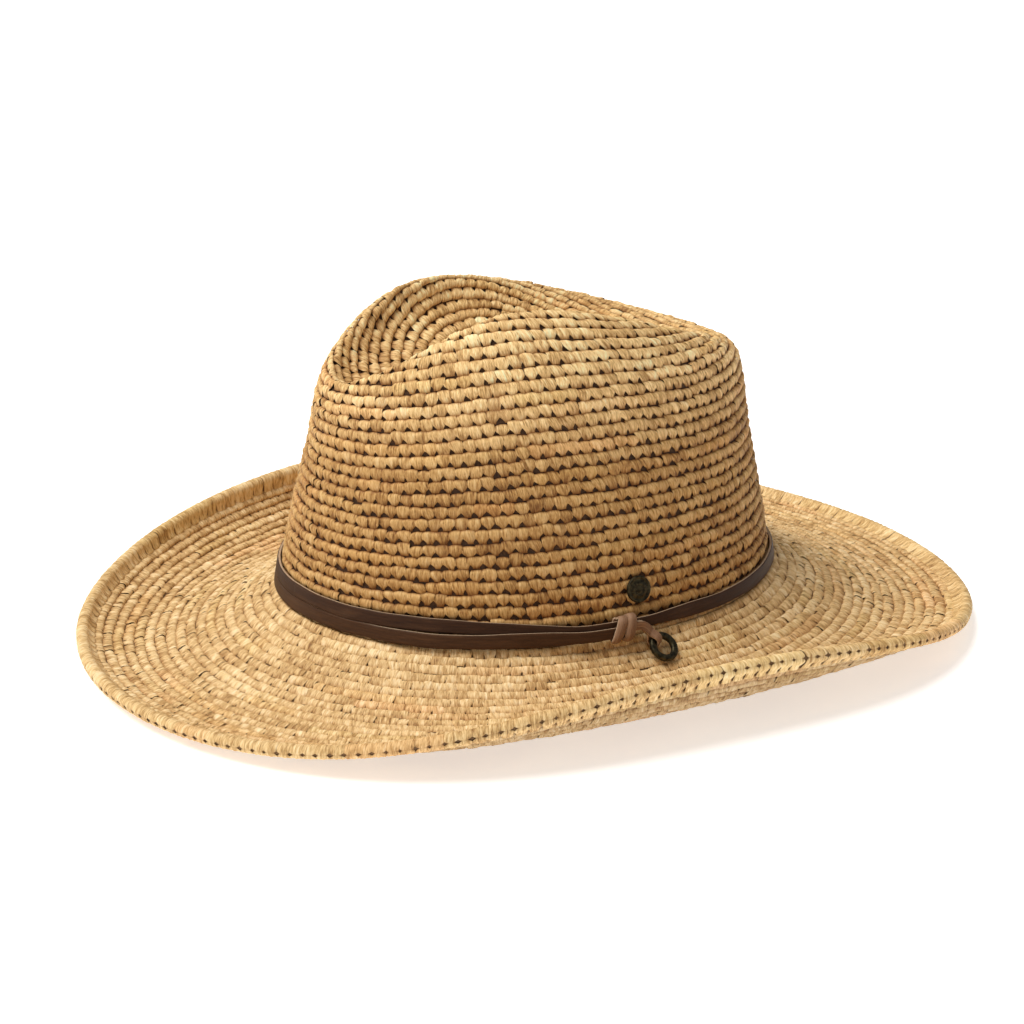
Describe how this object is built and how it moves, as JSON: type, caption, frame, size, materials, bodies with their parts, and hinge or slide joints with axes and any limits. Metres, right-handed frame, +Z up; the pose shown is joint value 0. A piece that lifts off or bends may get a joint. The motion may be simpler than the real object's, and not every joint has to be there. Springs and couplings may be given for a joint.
{
  "type": "cowboy hat",
  "caption": "Crocheted natural raffia cowboy hat: pinched teardrop crown, curled wire-edged brim, dark leather lace band with a knot and a metal ring, and a small metal badge.",
  "frame": {"origin": "on the surface the hat stands on, below the middle of the whole hat", "axes": "+Z up through the crown; -Y the front of the hat; +Y the back; +X the wearer's left, where the knot and badge are"},
  "size_m": [0.2985, 0.3725, 0.1447],
  "materials": {
    "raffia": "matte",
    "lace_leather": "satin",
    "bronze": "satin",
    "steel_wire": "satin",
    "cotton": "matte",
    "thread": "matte"
  },
  "bodies": {
    "hat": {"crown_shell": "raffia", "brim_panel": "raffia", "brim_edge_binding": "raffia", "brim_wire": "steel_wire", "brim_wire_sleeve": "steel_wire", "sweatband": "cotton", "sweatband_stitching": "thread", "size_label": "cotton", "label_stitches": "thread", "badge_cap": "bronze", "badge_post": "bronze", "badge_backplate": "bronze"},
    "band": {"band_upper_strap": "lace_leather", "band_lower_strap": "lace_leather"},
    "knot": {"band_knot": "lace_leather"},
    "tail": {"band_tail": "lace_leather"},
    "ring": {"tail_ring": "bronze"}
  },
  "joints": [
    {"name": "band_lift", "type": "slide", "parent": "hat", "child": "band", "axis": [0, 0, 1], "range_m": [0, 0.13]},
    {"name": "knot_slide", "type": "slide", "parent": "band", "child": "knot", "axis": [0.0663, 0.9978, 0], "range_m": [-0.003, 0.003]},
    {"name": "tail_swing", "type": "hinge", "parent": "knot", "child": "tail", "pos_m": [0.0911, -0.00384, 0.02914], "axis": [0.998, -0.0639, 0], "range_deg": [0, 40]},
    {"name": "ring_swing", "type": "hinge", "parent": "tail", "child": "ring", "pos_m": [0.0929, 0.00244, 0.02271], "axis": [0.4979, -0.7791, -0.381], "range_deg": [0, 95]}
  ]
}
